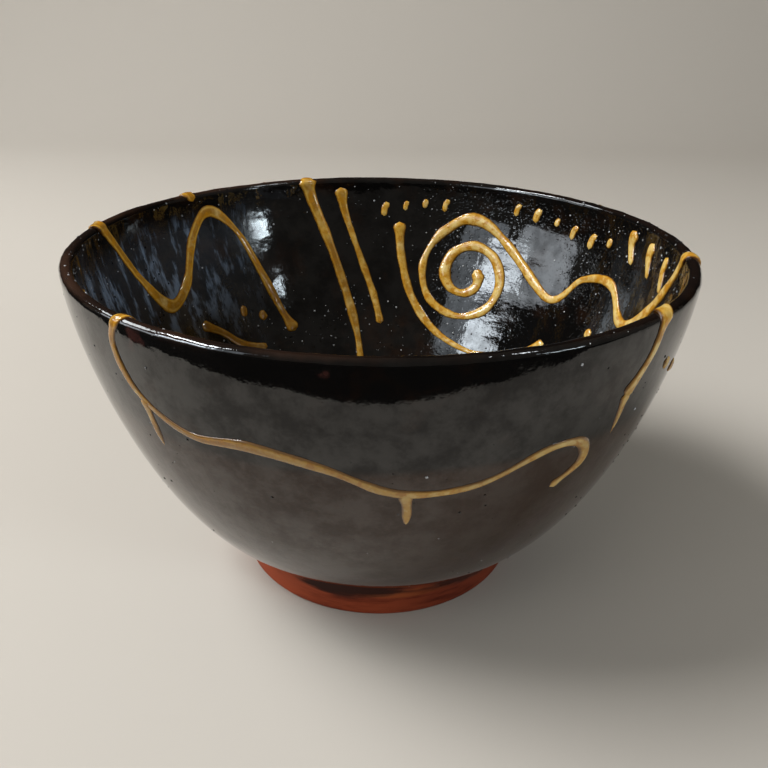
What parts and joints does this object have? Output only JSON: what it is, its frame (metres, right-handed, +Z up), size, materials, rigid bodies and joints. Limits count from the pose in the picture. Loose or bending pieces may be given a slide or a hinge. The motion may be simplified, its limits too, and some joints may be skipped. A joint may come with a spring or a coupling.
{
  "type": "footed bowl",
  "caption": "Deep round earthenware bowl on a turned foot ring, black glazed inside and out, with trailed yellow slip lines over the glaze and a bare red clay foot.",
  "frame": {"origin": "centre of the foot ring's underside, on the surface that the bowl stands on", "axes": "+Z up along the axis the bowl was turned on; in the picture +X runs to the viewer's right and +Y away from the viewer"},
  "size_m": [0.2, 0.2, 0.117],
  "materials": {
    "black_glaze": "gloss",
    "yellow_slip": "gloss"
  },
  "bodies": {
    "root": {"bowl": "black_glaze"}
  },
  "joints": []
}
